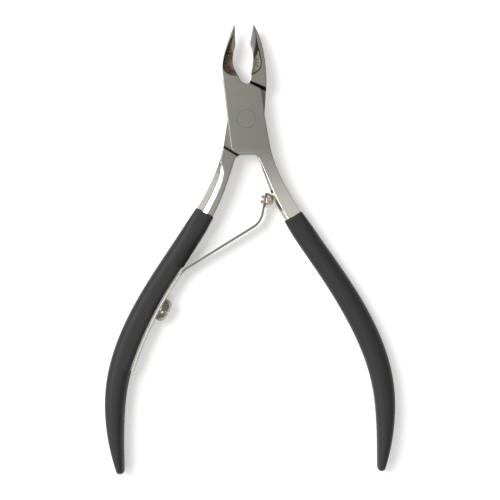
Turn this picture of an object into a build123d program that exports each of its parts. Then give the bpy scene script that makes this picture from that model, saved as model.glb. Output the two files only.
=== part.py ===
"""Cuticle nipper: two lap-jointed steel levers, a flush rivet, coated handles and a leaf spring with a glide button.

Millimetres. The nipper lies flat: +Z is the pivot axis and points out of the front face, +Y points to the jaws,
+X to the right handle. The origin is on the pivot axis in the resting plane. It is drawn half open.
"""

import os
from math import atan2, cos, degrees, hypot, radians, sin, tan

from build123d import *

os.makedirs("parts", exist_ok=True)

# Overall sizes
joint_thickness = 6.0  # both lap plates together, from the resting plane to the front face
handle_reach = 88.3  # pivot axis to the handle ends, along Y
handle_spread = 36.4  # centre line to the widest place of a handle, half open
jaw_reach = 23.7  # pivot axis to the jaw tips, along Y
closing_angle = 11.2  # turn of the back lever that brings the cutting edges together

# Lap joint
lap_clearance = 0.05  # between the two lap plates
shoulder_radius = 9.1  # pivot axis to each shoulder, square to the shoulder
jaw_shoulder_angle = 67.4  # direction of the back lever's jaw shoulder from the pivot, above the X axis
tang_shoulder_angle = 58.2  # direction of its tang shoulder from the pivot, below the X axis
plate_end = 8.65  # pivot axis to the plates' straight end

# Pivot rivet
rivet_diameter = 3.4
rivet_head_diameter = 4.6
rivet_head_depth = 0.8
rivet_clearance = 0.04  # radial, in the back lever, which turns on the rivet

# Jaws
cutting_edge_length = 4.6
tip_thickness = 1.6
tip_bottom = 2.4  # height of the jaws' back face at the tips
jaw_taper_start = 11.0  # where the jaws start to thin, along Y
hollow_rim = 0.45  # wall left at the sides of each jaw's hollow
tip_rim = 1.6  # solid length left before the tips
hollow_depth = 1.2
hollow_wheel_radius = 13.0  # radius of the wheel that grinds the hollows
hollow_middle = 15.6  # middle of the hollows, along Y

# Handles
coat_thickness = 0.45  # grip coat around the steel core
handle_end_length = 1.2  # rounded end of each handle, past the end of its curves
right_grip_drop = 1.65  # the right grip's top edge is this much further down than the left one's
grip_edge_radius = 0.95  # rounding of the grips' long edges

# Leaf spring
leaf_thickness = 0.55
leaf_width = 3.4
backing_thickness = 0.5
flex_gap = 0.06  # between the held and the free length of the leaf
root_run = 1.4  # from the held length to the bend at the root
tip_run = 5.7  # from the glide button to the bend below it
tip_angle = 79.0  # direction of the leaf's end
tip_overhang = 1.7  # leaf beyond the glide button's middle
bend_radius = 5.0  # middle of the leaf at both bends
window_margin = 0.5  # window in the coat beyond the backing strip, along the handle

# Spring screw
screw_place = 0.366  # along the held length, from its upper end
screw_diameter = 2.4
screw_clearance = 0.1  # radial, in the leaf and the backing
screw_head_diameter = 5.8
screw_head_height = 2.3
screw_slot_width = 0.8
screw_slot_depth = 0.9
screw_thread_length = 3.0  # in the steel core

# Glide button
button_radius = 1.85
button_rise = 0.3  # dome's middle above the middle of the leaf
button_gap = 0.03  # between the dome and the tang
button_stem_diameter = 1.2
button_stem_clearance = 0.05
button_tail_diameter = 2.0
button_tail_length = 0.8
bearing_place = 0.1155  # along the right tang's inner edge, from the joint

lap_plane = joint_thickness / 2
mid_height = joint_thickness / 2
beyond = 2 * (handle_reach + handle_spread)  # longer than the object, for cuts that pass right through


def polar(radius, angle, centre=(0, 0)):
    """The point at a distance and a direction in degrees from a centre."""
    return (centre[0] + radius * cos(radians(angle)), centre[1] + radius * sin(radians(angle)))


def turned(point, angle):
    """A point turned about the pivot axis."""
    return polar(hypot(*point), degrees(atan2(point[1], point[0])) + angle)


def mirrored(point):
    """A point of the right handle's curve on the left handle, and the other way round."""
    return (-point[0], point[1])


def on_handle(x, y, drawn_spread=36.4, drawn_reach=87.1, drawn_widest=72.0):
    """A point of the handle curve, stretched from its drawn size to this nipper's, with the joint and the
    rounded end left as they are."""
    below_joint = -y - plate_end
    share = min(1, max(0, below_joint / (drawn_widest - plate_end)))
    widened = x * (1 + share * (handle_spread / drawn_spread - 1))
    stretch = (handle_reach - handle_end_length - plate_end) / (drawn_reach - plate_end)
    return (widened, -plate_end - below_joint * stretch)


def on_jaw(x, y, drawn_reach=23.7):
    """A point of the jaw curve, stretched from its drawn size to this nipper's, the joint left as it is."""
    return (x, plate_end + (y - plate_end) * (jaw_reach - plate_end) / (drawn_reach - plate_end))


# Edges of the right handle's steel, from the joint to its end. The left handle is its mirror image.
handle_outer = [(5.95, -7.6), (7.7, -12.9), (11.3, -20.0), (20.5, -34.0), (30.3, -50.0), (35.5, -66.0)]
handle_outer = [on_handle(x, y) for x, y in handle_outer + [(35.4, -78.0), (33.3, -87.1)]]
handle_inner = [(3.2, -10.3), (4.68, -14.8), (7.05, -20.8), (15.0, -34.0), (24.8, -50.0), (30.9, -66.0)]
handle_inner = [on_handle(x, y) for x, y in handle_inner + [(32.1, -80.0), (32.1, -87.1)]]
handle_end = (on_handle(32.7, -88.3)[0], coat_thickness - handle_reach)
grip_corners = on_handle(15.6, -20.3), on_handle(5.5, -26.0)  # a line through the left grip's top, mirrored
seat_points = [mirrored(on_handle(x, y)) for x, y in [(17.75, -38.18), (24.65, -49.67), (29.87, -62.02)]]

# Jaw edges, both drawn as the left jaw. The right jaw is narrower, and its cutting edge is the left one's,
# turned open.
cusp = on_jaw(-2.48, 18.7)
edge_end = (cusp[0] - 0.07, cusp[1] + cutting_edge_length)
left_outer = [(-2.75, jaw_reach), on_jaw(-4.6, 18.7), on_jaw(-5.65, 15.0), on_jaw(-5.95, 12.6)]
left_inner = [(-1.3, 9.5), on_jaw(-2.05, 11.1), on_jaw(-3.05, 13.4), on_jaw(-3.15, 16.2), cusp]
right_cusp = mirrored(turned(cusp, -closing_angle))
right_edge_end = mirrored(turned(edge_end, -closing_angle))
right_outer = [(-2.2, jaw_reach), on_jaw(-4.1, 18.7), on_jaw(-4.85, 14.5), on_jaw(-5.15, 8.7)]
right_inner = [(-1.15, 9.6), on_jaw(-1.35, 11.1), on_jaw(-1.8, 13.4), on_jaw(-1.95, 16.0), right_cusp]


def lever_plan(jaw_outer, jaw_inner, jaw_edge_end):
    """One lever from its jaw on the left to its handle on the right, seen from the front."""
    with BuildSketch(mode=Mode.PRIVATE) as plan:
        with BuildLine():
            Spline(*jaw_outer)
            Line(jaw_outer[-1], (-3.95, -6.4))
            RadiusArc((-3.95, -6.4), (-2.2, -plate_end), -2.2)
            Line((-2.2, -plate_end), (1.4, -plate_end))
            RadiusArc((1.4, -plate_end), handle_inner[0], 2.2)
            Spline(*handle_inner)
            ThreePointArc(handle_inner[-1], handle_end, handle_outer[-1])
            Spline(*reversed(handle_outer))
            Polyline(handle_outer[0], (4.6, 0.6), (4.0, 6.2), (3.7, 7.5), (1.0, 8.9))
            ThreePointArc((1.0, 8.9), (0.0, 8.75), jaw_inner[0])
            Spline(*jaw_inner)
            Polyline(jaw_inner[-1], jaw_edge_end, jaw_outer[0])
        make_face()
    return plan.sketch


def hollow_plan(jaw_outer, jaw_inner, jaw_edge_end):
    """The inside of a jaw's rim, from its tip down to the joint."""
    far_end = (jaw_edge_end[0] - hollow_rim, jaw_edge_end[1] - tip_rim)
    outer_side = [far_end] + [(x + hollow_rim, y) for x, y in jaw_outer[1:]]
    inner_side = [(x - hollow_rim, y) for x, y in jaw_inner]
    with BuildSketch(mode=Mode.PRIVATE) as plan:
        with BuildLine():
            Spline(*outer_side)
            Line(outer_side[-1], inner_side[0])
            Spline(*inner_side)
            Line(inner_side[-1], far_end)
        make_face()
    return plan.sketch


def shoulder(angle):
    """Two points on a shoulder's line, far out on both sides of the joint."""
    foot = polar(shoulder_radius, angle)
    return polar(3 * shoulder_radius, angle + 90, foot), polar(3 * shoulder_radius, angle - 90, foot)


front_plan = lever_plan(left_outer, left_inner, edge_end)
back_plan = mirror(lever_plan(right_outer, right_inner, right_edge_end), about=Plane.YZ)
left_hollow_plan = hollow_plan(left_outer, left_inner, edge_end)
right_hollow_plan = mirror(hollow_plan(right_outer, right_inner, right_edge_end), about=Plane.YZ)

with BuildSketch() as lap_pocket:
    # What is cut away between the front lever's two shoulders
    with BuildLine():
        Polyline(*shoulder(180 - jaw_shoulder_angle), *shoulder(-tang_shoulder_angle), close=True)
    make_face()

def beside(curve, distance):
    """Points beside a curve, on its left when the distance is above zero."""
    return [curve @ (i / 8) + Vector(curve % (i / 8)).rotate(Axis.Z, 90) * distance for i in range(9)]


coat_outer = beside(Spline(*handle_outer), coat_thickness)
coat_inner = beside(Spline(*handle_inner), -coat_thickness)
with BuildSketch() as grip_plan:
    # The right handle with its coat, below the left grip's top edge
    with BuildLine():
        Spline(*coat_inner)
        ThreePointArc(coat_inner[-1], (handle_end[0], -handle_reach), coat_outer[-1])
        Spline(*reversed(coat_outer))
        Line(coat_outer[0], coat_inner[0])
    make_face()
    with BuildLine():
        Polyline(*grip_corners, (0, -beyond), (beyond, -beyond), close=True)
    make_face(mode=Mode.INTERSECT)

tip_top = tip_bottom + tip_thickness
grip_start = (grip_corners[0][1] + grip_corners[1][1]) / 2
core_top = joint_thickness - coat_thickness

with BuildPart(mode=Mode.PRIVATE) as side_view:
    # The levers seen from the side: the jaws thin towards their tips, the tangs towards the coated core.
    with BuildSketch(Plane.YZ):
        with BuildLine():
            Polyline((jaw_reach, tip_bottom), (jaw_taper_start, 0), (-plate_end, 0), (grip_start, coat_thickness))
            Polyline((grip_start, coat_thickness), (-beyond, coat_thickness), (-beyond, core_top))
            Polyline((-beyond, core_top), (grip_start, core_top), (-plate_end, joint_thickness))
            Polyline((-plate_end, joint_thickness), (jaw_taper_start, joint_thickness), (jaw_reach, tip_top))
            Polyline((jaw_reach, tip_top), (jaw_reach + 1, tip_top), (jaw_reach + 1, tip_bottom))
            Line((jaw_reach + 1, tip_bottom), (jaw_reach, tip_bottom))
        make_face()
    extrude(amount=beyond, both=True)

# The wheel that grinds the hollows, its axis along X, square to the jaws' sloping front face
front_slope = degrees(atan2(joint_thickness - tip_top, jaw_reach - jaw_taper_start))
hollow_face = joint_thickness - (hollow_middle - jaw_taper_start) * tan(radians(front_slope))
wheel_middle = polar(hollow_wheel_radius - hollow_depth, 90 - front_slope, (hollow_middle, hollow_face))
with BuildPart(Location((0, *wheel_middle)), mode=Mode.PRIVATE) as hollow_wheel:
    Cylinder(hollow_wheel_radius, beyond, rotation=(0, 90, 0))

# The seat of the spring on the left handle: an arc whose centre lies on the hand's side
seat = ThreePointArc(*seat_points)
seat_centre = (seat.arc_center.X, seat.arc_center.Y)
upper_end = degrees(atan2(seat_points[0][1] - seat_centre[1], seat_points[0][0] - seat_centre[0]))
lower_end = degrees(atan2(seat_points[-1][1] - seat_centre[1], seat_points[-1][0] - seat_centre[0])) % 360
backing_face = seat.radius - backing_thickness
leaf_middle = backing_face - leaf_thickness / 2
leaf_face = backing_face - leaf_thickness
screw_angle = upper_end + screw_place * (lower_end - upper_end)


def seat_strip(outer_radius, inner_radius, start, end):
    """A strip between two arcs about the seat's centre."""
    with BuildSketch(mode=Mode.PRIVATE) as strip:
        with BuildLine():
            outer = CenterArc(seat_centre, outer_radius, start, end - start)
            inner = CenterArc(seat_centre, inner_radius, start, end - start)
            Line(outer @ 0, inner @ 0)
            Line(outer @ 1, inner @ 1)
        make_face()
    return strip.sketch


def on_seat(length):
    """The turn about the seat's centre over a length along the seat."""
    return degrees(length / seat.radius)


window_plan = seat_strip(
    seat.radius,
    seat.radius - 4 * coat_thickness,
    upper_end - on_seat(root_run + window_margin),
    lower_end + on_seat(window_margin),
)
backing_plan = seat_strip(seat.radius, backing_face, upper_end, lower_end)
held_leaf_plan = seat_strip(backing_face, leaf_face, upper_end, lower_end)

# The screw stands square to the seat. Its flat head bears on the leaf's hollow side at two places of its rim.
head_seat = (leaf_face**2 - (screw_head_diameter / 2) ** 2) ** 0.5
screw_foot = polar(head_seat, screw_angle, seat_centre)
screw_plane = Plane(
    origin=(*screw_foot, mid_height),
    x_dir=(0, 0, 1),
    z_dir=(cos(radians(screw_angle + 180)), sin(radians(screw_angle + 180)), 0),
)
screw_depth = seat.radius - head_seat + screw_thread_length

# The glide button bears on the right tang's inner edge, and the leaf's end is square to the button.
tang_edge = Spline(*handle_inner)
bearing_point = tang_edge @ bearing_place
bearing_normal = Vector(tang_edge % bearing_place).rotate(Axis.Z, 90)
tip_heading = Vector(*polar(1, tip_angle))
button_heading = Vector(*polar(1, tip_angle - 90))
dome_middle = bearing_point - bearing_normal * (button_radius + button_gap)
leaf_at_button = dome_middle - button_heading * button_rise
button_plane = Plane(origin=leaf_at_button + Vector(0, 0, mid_height), x_dir=button_heading, z_dir=(0, 0, 1))
root = Vector(*polar(leaf_middle, upper_end - on_seat(flex_gap), seat_centre))
root_heading = Vector(*polar(1, upper_end - 90))
arm_corners = [
    root,
    root + root_heading * root_run,
    leaf_at_button - tip_heading * tip_run,
    leaf_at_button + tip_heading * tip_overhang,
]


with BuildPart() as pivot_rivet:
    with BuildSketch(Plane.XZ) as rivet_section:
        with BuildLine():
            Polyline(
                (0, 0),
                (rivet_head_diameter / 2, 0),
                (rivet_diameter / 2, rivet_head_depth),
                (rivet_diameter / 2, joint_thickness - rivet_head_depth),
                (rivet_head_diameter / 2, joint_thickness),
                (0, joint_thickness),
                close=True,
            )
        make_face()
    revolve(axis=Axis.Z)

with BuildPart() as front_lever:
    with BuildSketch():
        add(front_plan)
    extrude(amount=joint_thickness)
    add(side_view.part, mode=Mode.INTERSECT)
    with BuildSketch():
        add(lap_pocket.sketch)
    extrude(amount=lap_plane + lap_clearance / 2, mode=Mode.SUBTRACT)
    inside_rim = extrude(left_hollow_plan, amount=joint_thickness, mode=Mode.PRIVATE)
    add(inside_rim & hollow_wheel.part, mode=Mode.SUBTRACT)
    add(pivot_rivet.part, mode=Mode.SUBTRACT)

with BuildPart() as back_lever:
    with BuildSketch():
        add(back_plan)
    extrude(amount=joint_thickness)
    add(side_view.part, mode=Mode.INTERSECT)
    with BuildSketch(Plane.XY.offset(lap_plane - lap_clearance / 2)):
        add(mirror(lap_pocket.sketch, about=Plane.YZ, mode=Mode.PRIVATE))
    extrude(amount=lap_plane + lap_clearance / 2, mode=Mode.SUBTRACT)
    inside_rim = extrude(right_hollow_plan, amount=joint_thickness, mode=Mode.PRIVATE)
    add(inside_rim & hollow_wheel.part, mode=Mode.SUBTRACT)
    # Bore and countersink with running clearance around the rivet
    with BuildSketch(Plane.XZ):
        with BuildLine():
            Polyline(
                (0, 0),
                (rivet_head_diameter / 2 + rivet_clearance, 0),
                (rivet_diameter / 2 + rivet_clearance, rivet_head_depth),
                (rivet_diameter / 2 + rivet_clearance, joint_thickness),
                (0, joint_thickness),
                close=True,
            )
        make_face()
    revolve(axis=Axis.Z, mode=Mode.SUBTRACT)
    extrude(window_plan, amount=joint_thickness, mode=Mode.SUBTRACT)
    with BuildSketch(screw_plane):
        Circle(screw_diameter / 2)
    extrude(amount=-screw_depth, mode=Mode.SUBTRACT)

with BuildPart(mode=Mode.PRIVATE) as coat_blank:
    # A grip before the steel is taken out of it
    with BuildSketch():
        add(grip_plan.sketch)
    extrude(amount=joint_thickness)
    long_edges = coat_blank.edges().group_by(Axis.Z)[0] + coat_blank.edges().group_by(Axis.Z)[-1]
    fillet(long_edges, radius=grip_edge_radius)

with BuildPart() as right_grip:
    add(coat_blank.part)
    with BuildSketch():
        with BuildLine():
            lowered = [(x, y - right_grip_drop) for x, y in grip_corners]
            Polyline(*lowered, (lowered[1][0], 0), (lowered[0][0], 0), close=True)
        make_face()
    extrude(amount=joint_thickness, mode=Mode.SUBTRACT)
    add(front_lever.part, mode=Mode.SUBTRACT)

with BuildPart() as left_grip:
    add(mirror(coat_blank.part, about=Plane.YZ, mode=Mode.PRIVATE))
    add(back_lever.part, mode=Mode.SUBTRACT)
    extrude(window_plan, amount=joint_thickness, mode=Mode.SUBTRACT)
    with BuildSketch(screw_plane):
        Circle(screw_diameter / 2)
    extrude(amount=-screw_depth, mode=Mode.SUBTRACT)

with BuildPart() as spring_backing:
    with BuildSketch(Plane.XY.offset(mid_height)):
        add(backing_plan)
    extrude(amount=leaf_width / 2, both=True)
    with BuildSketch(screw_plane):
        Circle(screw_diameter / 2 + screw_clearance)
    extrude(amount=-screw_depth, both=True, mode=Mode.SUBTRACT)

with BuildPart() as spring_base:
    with BuildSketch(Plane.XY.offset(mid_height)):
        add(held_leaf_plan)
    extrude(amount=leaf_width / 2, both=True)
    with BuildSketch(screw_plane):
        Circle(screw_diameter / 2 + screw_clearance)
    extrude(amount=-screw_depth, both=True, mode=Mode.SUBTRACT)

with BuildPart() as spring_arm:
    with BuildSketch(Plane.XY.offset(mid_height)):
        with BuildLine():
            FilletPolyline(*arm_corners, radius=bend_radius)
        trace(line_width=leaf_thickness)
    extrude(amount=leaf_width / 2, both=True)
    with BuildSketch(Plane(origin=button_plane.origin, x_dir=(0, 0, 1), z_dir=button_heading)):
        Circle(button_stem_diameter / 2 + button_stem_clearance)
    extrude(amount=leaf_thickness, both=True, mode=Mode.SUBTRACT)

with BuildPart() as glide_button:
    # Dome on the tang's side of the leaf, stem through it, riveted tail on the other side
    with BuildSketch(button_plane):
        with BuildLine():
            dome_foot = (button_radius**2 - (button_rise - leaf_thickness / 2) ** 2) ** 0.5
            Polyline(
                (button_rise + button_radius, 0),
                (-leaf_thickness / 2 - button_tail_length, 0),
                (-leaf_thickness / 2 - button_tail_length, button_tail_diameter / 2),
                (-leaf_thickness / 2, button_tail_diameter / 2),
                (-leaf_thickness / 2, button_stem_diameter / 2),
                (leaf_thickness / 2, button_stem_diameter / 2),
                (leaf_thickness / 2, dome_foot),
            )
            half = button_radius * 0.5**0.5
            ThreePointArc((leaf_thickness / 2, dome_foot), (button_rise + half, half), (button_rise + button_radius, 0))
        make_face()
    revolve(axis=Axis(button_plane.origin, button_plane.x_dir))

with BuildPart() as spring_screw:
    with BuildSketch(screw_plane):
        Circle(screw_head_diameter / 2)
    extrude(amount=screw_head_height)
    with BuildSketch(screw_plane):
        Circle(screw_diameter / 2)
    extrude(amount=-screw_depth)
    with BuildSketch(screw_plane.offset(screw_head_height)):
        Rectangle(2 * screw_head_diameter, screw_slot_width)
    extrude(amount=-screw_slot_depth, mode=Mode.SUBTRACT)

front_lever.part.label = "front_lever"
back_lever.part.label = "back_lever"
pivot_rivet.part.label = "pivot_rivet"
right_grip.part.label = "right_grip"
left_grip.part.label = "left_grip"
spring_backing.part.label = "spring_backing"
spring_base.part.label = "spring_base"
spring_arm.part.label = "spring_arm"
glide_button.part.label = "glide_button"
spring_screw.part.label = "spring_screw"

export_step(front_lever.part, "parts/front_lever.step")
export_step(back_lever.part, "parts/back_lever.step")
export_step(pivot_rivet.part, "parts/pivot_rivet.step")
export_step(right_grip.part, "parts/right_grip.step")
export_step(left_grip.part, "parts/left_grip.step")
export_step(spring_backing.part, "parts/spring_backing.step")
export_step(spring_base.part, "parts/spring_base.step")
export_step(spring_arm.part, "parts/spring_arm.step")
export_step(glide_button.part, "parts/glide_button.step")
export_step(spring_screw.part, "parts/spring_screw.step")
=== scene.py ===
"""Cuticle nipper: the visible pieces, materials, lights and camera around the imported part.

It is laid out as an add-on and run as a script. Plan coordinates are in millimetres, with the pivot axis
at the origin, the jaws towards +Y and the front face up. Meshes are made in metres.
"""

import math

import bmesh
import bpy
import numpy as np
from bpy.props import FloatProperty, FloatVectorProperty, PointerProperty
from bpy.types import Operator, Panel, PropertyGroup
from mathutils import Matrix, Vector
from mathutils.geometry import delaunay_2d_cdt


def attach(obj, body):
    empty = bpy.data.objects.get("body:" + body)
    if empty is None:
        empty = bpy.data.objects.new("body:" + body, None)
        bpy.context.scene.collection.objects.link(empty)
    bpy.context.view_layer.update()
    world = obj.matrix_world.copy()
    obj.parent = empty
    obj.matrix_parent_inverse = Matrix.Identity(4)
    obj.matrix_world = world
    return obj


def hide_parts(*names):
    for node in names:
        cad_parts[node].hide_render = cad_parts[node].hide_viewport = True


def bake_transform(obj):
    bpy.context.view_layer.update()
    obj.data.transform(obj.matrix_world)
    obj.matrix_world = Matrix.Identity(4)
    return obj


bl_info = {
    "name": "Cuticle Nipper",
    "version": (1, 0, 0),
    "blender": (4, 5, 0),
    "location": "3D View > Sidebar > Nipper",
    "description": "Builds the steel levers, coated handles, leaf spring and stage of a cuticle nipper",
    "category": "Add Mesh",
}

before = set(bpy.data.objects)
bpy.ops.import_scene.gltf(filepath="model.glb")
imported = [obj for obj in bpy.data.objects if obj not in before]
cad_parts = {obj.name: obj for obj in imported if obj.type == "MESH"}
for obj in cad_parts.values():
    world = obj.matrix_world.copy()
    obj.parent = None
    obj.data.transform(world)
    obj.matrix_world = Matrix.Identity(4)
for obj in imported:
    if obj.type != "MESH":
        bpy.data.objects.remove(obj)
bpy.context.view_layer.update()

MM = 0.001

# Heights in millimetres, as in the CAD part
JOINT_TOP = 6.0
MIDDLE_HEIGHT = 3.5
FRONT_PLATE_UNDERSIDE = 3.025
BACK_PLATE_TOP = 2.975
SHOULDER_RADIUS = 9.1
JAW_SHOULDER_ANGLE = 67.4
TANG_SHOULDER_ANGLE = 58.2
RIVET_HEAD_RADIUS = 2.3

# The seat of the leaf spring: an arc about a centre on the hand's side
SEAT_CENTRE = (60.225, -92.822)
SEAT_RADIUS = 95.215
SEAT_UPPER_END = 144.98
SEAT_LOWER_END = 161.12
SLOT_TURN = 4.0
SPRING_BOTTOM = 1.3
SPRING_TOP = 4.7
BACKING_THICKNESS = 0.36
BACKING_DEPTH = 0.25  # from the seat to the backing strip's middle
LEAF_DEPTH = 0.775  # from the seat to the leaf's middle
ROOT_RUN = 1.4
TIP_RUN = 5.7
TIP_ANGLE = 79.0
TIP_OVERHANG = 1.7
BEND_RADIUS = 5.0
SCREW_PLACE = 0.366  # share of the held length, from its upper end
BUTTON_PLACE = (4.411, -20.087)

# Plain colours: a neutral grey, and the hollows' brown, which is partly the ground finish and partly painted
# shade
GREY = (0.5, 0.5, 0.5)
HOLLOW_BROWN_AND_SHADE = (0.15, 0.127, 0.106)


# ---------------------------------------------------------------- plan geometry


def polar(radius, angle, centre=(0.0, 0.0)):
    """A point in plan, at an angle in degrees from a centre."""
    return (
        centre[0] + radius * math.cos(math.radians(angle)),
        centre[1] + radius * math.sin(math.radians(angle)),
    )


def smooth_curve(points, count):
    """Points of a smooth curve through the given ones, evenly spaced along it."""
    p = np.array(points, float)
    t = np.concatenate([[0], np.cumsum(np.hypot(*np.diff(p, axis=0).T))])
    n = len(p)
    h = np.diff(t)
    a = np.zeros((n, n))
    r = np.zeros((n, 2))
    a[0, 0] = a[-1, -1] = 1
    for i in range(1, n - 1):
        a[i, i - 1 : i + 2] = h[i - 1], 2 * (h[i - 1] + h[i]), h[i]
        r[i] = 6 * ((p[i + 1] - p[i]) / h[i] - (p[i] - p[i - 1]) / h[i - 1])
    m = np.linalg.solve(a, r)
    u = np.linspace(0, t[-1], 60 * n)
    k = np.clip(np.searchsorted(t, u, side="right") - 1, 0, n - 2)
    hk, lo, hi = h[k][:, None], (t[k + 1] - u)[:, None], (u - t[k])[:, None]
    c = m[k] * lo**3 / (6 * hk) + m[k + 1] * hi**3 / (6 * hk)
    c += (p[k] / hk - m[k] * hk / 6) * lo + (p[k + 1] / hk - m[k + 1] * hk / 6) * hi
    return resampled(c, count)


def resampled(line, count):
    """The same line with evenly spaced points."""
    line = np.array(line, float)
    s = np.concatenate([[0], np.cumsum(np.hypot(*np.diff(line, axis=0).T))])
    u = np.linspace(0, s[-1], count)
    return np.column_stack([np.interp(u, s, line[:, 0]), np.interp(u, s, line[:, 1])])


def length_of(line):
    return float(np.hypot(*np.diff(np.array(line, float), axis=0).T).sum())


def rounded_path(corners, radius, step=0.25):
    """A line through the corners, each one rounded off to the radius."""
    out = [np.array(corners[0], float)]
    for before, corner, after in zip(corners, corners[1:], corners[2:]):
        b, c, a = (np.array(v, float) for v in (before, corner, after))
        u, v = (b - c) / np.linalg.norm(b - c), (a - c) / np.linalg.norm(a - c)
        half = math.acos(float(np.clip(u @ v, -1, 1))) / 2
        cut = radius / math.tan(half)
        middle = c + (u + v) / np.linalg.norm(u + v) * radius / math.sin(half)
        start, end = c + u * cut, c + v * cut
        a0 = math.atan2(*(start - middle)[::-1])
        turn = (math.atan2(*(end - middle)[::-1]) - a0 + math.pi) % (2 * math.pi) - math.pi
        steps = max(3, int(abs(turn) * radius / step))
        for i in range(steps + 1):
            at = a0 + turn * i / steps
            out.append(middle + radius * np.array([math.cos(at), math.sin(at)]))
    out.append(np.array(corners[-1], float))
    return np.array(out)


def nearest(points, line, closed=False):
    """The distance from each point to a line."""
    a = np.array(line, float)
    b = np.roll(a, -1, axis=0) if closed else a[1:]
    a = a if closed else a[:-1]
    d = b - a
    size = np.maximum((d * d).sum(1), 1e-12)
    out = np.empty(len(points))
    for i in range(0, len(points), 2000):
        p = points[i : i + 2000, None, :]
        t = np.clip(((p - a) * d).sum(2) / size, 0, 1)
        out[i : i + 2000] = np.sqrt((((a + t[..., None] * d) - p) ** 2).sum(2)).min(1)
    return out


def inside(points, loop):
    """Whether each point is inside a closed loop."""
    a = np.array(loop, float)
    b = np.roll(a, -1, axis=0)
    out = np.zeros(len(points), bool)
    for i in range(0, len(points), 2000):
        x, y = points[i : i + 2000, 0, None], points[i : i + 2000, 1, None]
        crosses = (a[:, 1] > y) != (b[:, 1] > y)
        rise = np.where(b[:, 1] == a[:, 1], 1e-12, b[:, 1] - a[:, 1])
        at = a[:, 0] + (y - a[:, 1]) * (b[:, 0] - a[:, 0]) / rise
        out[i : i + 2000] = ((crosses & (x < at)).sum(1) % 2).astype(bool)
    return out


def plan_outline(node, height):
    """The longest outline of a CAD node at a height, anticlockwise, in millimetres."""
    bm = bmesh.new()
    bm.from_mesh(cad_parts[node].data)
    bmesh.ops.remove_doubles(bm, verts=bm.verts, dist=1e-6)
    cut = bmesh.ops.bisect_plane(
        bm,
        geom=bm.verts[:] + bm.edges[:] + bm.faces[:],
        plane_co=(0, 0, height * MM),
        plane_no=(0, 0, 1),
        dist=1e-9,
    )
    links = {}
    for e in (g for g in cut["geom_cut"] if isinstance(g, bmesh.types.BMEdge)):
        a, b = e.verts
        links.setdefault(a, []).append(b)
        links.setdefault(b, []).append(a)
    loops, seen = [], set()
    for start in links:
        if start in seen:
            continue
        loop, at, last = [start], start, None
        seen.add(start)
        while True:
            ahead = [v for v in links[at] if v is not last and v not in seen]
            if not ahead:
                break
            last, at = at, ahead[0]
            seen.add(at)
            loop.append(at)
        loops.append(np.array([(v.co.x / MM, v.co.y / MM) for v in loop]))
    bm.free()
    loop = max(loops, key=length_of)
    x, y = loop.T
    area = (x * np.roll(y, -1) - np.roll(x, -1) * y).sum()
    return loop if area > 0 else loop[::-1]


def even_loop(loop, spacing, corner=18.0):
    """A closed loop with its corners kept and its runs divided evenly. spacing(y) is the step."""
    n = len(loop)
    ahead = np.roll(loop, -1, axis=0) - loop
    keep = np.hypot(*ahead.T) > 1e-4
    loop, n = loop[keep], int(keep.sum())
    ahead = np.roll(loop, -1, axis=0) - loop
    heading = np.degrees(np.arctan2(ahead[:, 1], ahead[:, 0]))
    turn = (heading - np.roll(heading, 1) + 180) % 360 - 180
    corners = [i for i in range(n) if abs(turn[i]) > corner]
    out = []
    for i, k in enumerate(corners):
        end = corners[(i + 1) % len(corners)]
        run = np.array([loop[j % n] for j in range(k, (end if end > k else end + n) + 1)])
        fine = resampled(run, max(2, int(length_of(run) / 0.02) + 1))
        steps = 1 / np.array([spacing(y) for y in fine[1:, 1]]) * np.hypot(*np.diff(fine, axis=0).T)
        s = np.concatenate([[0], np.cumsum(steps)])
        count = max(1, int(round(s[-1])))
        u = np.linspace(0, s[-1], count + 1)[:-1]
        out.append(np.column_stack([np.interp(u, s, fine[:, 0]), np.interp(u, s, fine[:, 1])]))
    return np.concatenate(out)


# ---------------------------------------------------------------- meshes


def make_object(name, vertices, faces, material, sharp=32.0, attributes=None):
    """A closed mesh from points in millimetres, its faces turned outwards and its hard edges marked."""
    mesh = bpy.data.meshes.new(name)
    mesh.from_pydata([tuple(c * MM for c in v) for v in vertices], [], faces)
    for key, values in (attributes or {}).items():
        layer = mesh.attributes.new(key, "FLOAT", "POINT")
        layer.data.foreach_set("value", np.array(values, np.float32))
    bm = bmesh.new()
    bm.from_mesh(mesh)
    bmesh.ops.recalc_face_normals(bm, faces=bm.faces)
    bm.to_mesh(mesh)
    bm.free()
    mesh.shade_smooth()
    mesh.set_sharp_from_angle(angle=math.radians(sharp))
    mesh.materials.append(material)
    piece = bpy.data.objects.new(name, mesh)
    bpy.context.scene.collection.objects.link(piece)
    return piece


def finish_piece(piece, body, slot, *nodes):
    """The piece moves with its body and stands for its CAD nodes."""
    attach(piece, body)
    if nodes:
        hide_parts(*nodes)
    return piece


def lathe(profile, origin, axis, count=64):
    """Vertices and faces of a turned piece. profile is (radius, height along the axis), from axis to axis."""
    z = Vector(axis).normalized()
    x = z.orthogonal().normalized()
    y = z.cross(x)
    vertices, faces, rings = [], [], []
    for radius, height in profile:
        foot = Vector(origin) + z * height
        if radius < 1e-6:
            rings.append([len(vertices)])
            vertices.append(foot)
            continue
        rings.append(list(range(len(vertices), len(vertices) + count)))
        for i in range(count):
            a = 2 * math.pi * i / count
            vertices.append(foot + (x * math.cos(a) + y * math.sin(a)) * radius)
    for low, high in zip(rings, rings[1:]):
        for i in range(count):
            j = (i + 1) % count
            quad = [low[i % len(low)], low[j % len(low)], high[j % len(high)], high[i % len(high)]]
            faces.append(list(dict.fromkeys(quad)))
    return vertices, faces


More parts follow.
